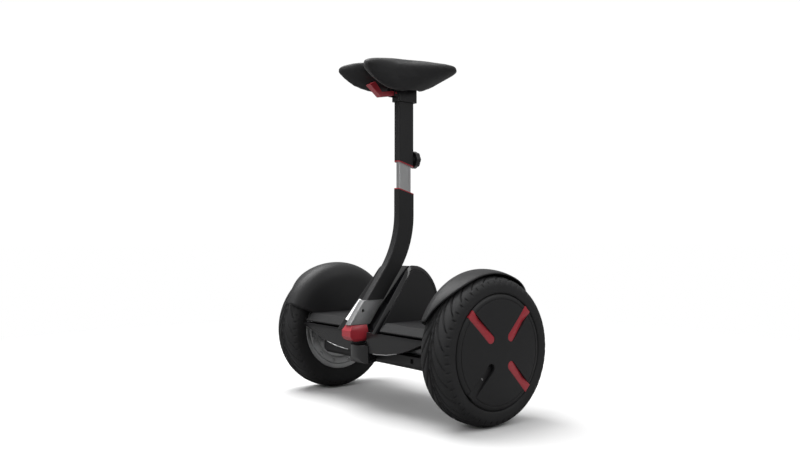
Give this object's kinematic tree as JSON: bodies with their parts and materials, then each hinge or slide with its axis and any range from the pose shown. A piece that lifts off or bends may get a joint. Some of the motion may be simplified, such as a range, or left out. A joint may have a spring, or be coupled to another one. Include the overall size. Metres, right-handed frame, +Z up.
{
  "type": "self balancing robot",
  "caption": "Ride-on self balancing machine: wheels on hub motors either side of a foot platform, with a removable knee bar that leans to steer.",
  "frame": {"origin": "on the ground under the middle of the axle line", "axes": "+X is the rider's left, -Y is the front, +Z is up"},
  "size_m": [0.546, 0.2642, 0.668],
  "materials": {
    "tyre": "matt moulded tread rubber",
    "alloy": "cast, satin",
    "matte_black": "fine moulded grain",
    "satin_black": "satin moulded",
    "gloss_black": "polished",
    "black_paint": "satin powder coat",
    "red": "deep red, semi gloss",
    "steel": "brushed",
    "silver": "drawn, satin",
    "mat_rubber": "matt, fine grain",
    "pad_skin": "soft matt skin over foam",
    "light_lens": "clear over white",
    "tail_lens": "clear red",
    "board": "lacquered board",
    "winding": "enamelled copper wire"
  },
  "bodies": {
    "chassis": {"chassis_frame": "alloy", "body_shell": "satin_black", "pivot_nose": "gloss_black", "battery_pack": "matte_black", "control_board": "board", "hump_cover": "gloss_black", "steering_bushing": "steel", "axle_left": "steel", "stator_left": "winding", "hump_side_left": "matte_black", "headlight_left": "light_lens", "taillight_left": "tail_lens", "fender_left": "matte_black", "foot_sensor_left": "steel", "axle_right": "steel", "stator_right": "winding", "hump_side_right": "matte_black", "headlight_right": "light_lens", "taillight_right": "tail_lens", "fender_right": "matte_black", "foot_sensor_right": "steel"},
    "left_wheel": {"tyre_left": "tyre", "rim_left": "alloy", "motor_cover_left": "alloy", "wheel_cover_left": "matte_black", "cover_strip_1_left": "red", "cover_strip_2_left": "red", "cover_strip_3_left": "red", "valve_stem_left": "steel", "hub_bearing_left": "steel"},
    "right_wheel": {"tyre_right": "tyre", "rim_right": "alloy", "motor_cover_right": "alloy", "wheel_cover_right": "matte_black", "cover_strip_1_right": "red", "cover_strip_2_right": "red", "cover_strip_3_right": "red", "valve_stem_right": "steel", "hub_bearing_right": "steel"},
    "left_foot_mat": {"foot_mat_left": "mat_rubber"},
    "right_foot_mat": {"foot_mat_right": "mat_rubber"},
    "power_button": {"power_button": "silver"},
    "charge_cap": {"charge_cap": "mat_rubber"},
    "steering_base": {"steering_shaft": "steel", "base_bracket": "steel"},
    "release_button": {"release_button": "red"},
    "lower_bar": {"lower_tube": "black_paint", "lower_trim": "red", "inner_tube": "silver"},
    "upper_bar": {"upper_tube": "black_paint", "upper_trim": "red", "pad_head": "satin_black", "pad_pin_left": "steel", "pad_pin_right": "steel"},
    "height_knob": {"height_knob": "satin_black"},
    "pad_latch": {"pad_latch": "red"},
    "left_pad": {"pad_core_left": "satin_black", "knee_pad_left": "pad_skin"},
    "right_pad": {"pad_core_right": "satin_black", "knee_pad_right": "pad_skin"}
  },
  "joints": [
    {"name": "left_wheel_spin", "type": "hinge", "parent": "chassis", "child": "left_wheel", "pos_m": [0.235, 0, 0.131], "axis": [1, 0, 0], "continuous": true},
    {"name": "right_wheel_spin", "type": "hinge", "parent": "chassis", "child": "right_wheel", "pos_m": [-0.235, 0, 0.131], "axis": [1, 0, 0], "continuous": true},
    {"name": "bar_lean", "type": "hinge", "parent": "chassis", "child": "steering_base", "pos_m": [0, -0.1, 0.14], "axis": [0, 1, 0], "range_deg": [-8, 8]},
    {"name": "bar_release", "type": "slide", "parent": "steering_base", "child": "lower_bar", "axis": [0, 0.5906, 0.807], "range_m": [0, 0.055]},
    {"name": "release_press", "type": "slide", "parent": "steering_base", "child": "release_button", "axis": [0, 0.807, -0.5906], "range_m": [0, 0.003]},
    {"name": "bar_height", "type": "slide", "parent": "lower_bar", "child": "upper_bar", "axis": [0, 0, 1], "range_m": [-0.04, 0.09], "stiffness_N_per_m": 6000},
    {"name": "knob_turn", "type": "hinge", "parent": "upper_bar", "child": "height_knob", "pos_m": [0, 0.033, 0.484], "axis": [0, 1, 0], "range_deg": [0, 360]},
    {"name": "left_pad_fold", "type": "hinge", "parent": "upper_bar", "child": "left_pad", "pos_m": [0.015, 0, 0.66], "axis": [0, -1, 0], "range_deg": [0, 88]},
    {"name": "right_pad_fold", "type": "hinge", "parent": "upper_bar", "child": "right_pad", "pos_m": [-0.015, 0, 0.66], "axis": [0, 1, 0], "range_deg": [0, 88]},
    {"name": "latch_pull", "type": "hinge", "parent": "upper_bar", "child": "pad_latch", "pos_m": [0, -0.02, 0.612], "axis": [1, 0, 0], "range_deg": [0, 15]},
    {"name": "left_mat_press", "type": "slide", "parent": "chassis", "child": "left_foot_mat", "axis": [0, 0, -1], "range_m": [0, 0.0015]},
    {"name": "right_mat_press", "type": "slide", "parent": "chassis", "child": "right_foot_mat", "axis": [0, 0, -1], "range_m": [0, 0.0015]},
    {"name": "power_press", "type": "slide", "parent": "chassis", "child": "power_button", "axis": [0, -1, 0], "range_m": [0, 0.001]},
    {"name": "charge_cap_swing", "type": "hinge", "parent": "chassis", "child": "charge_cap", "pos_m": [0.026, 0.1035, 0.148], "axis": [1, 0, 0], "range_deg": [0, 100]}
  ]
}
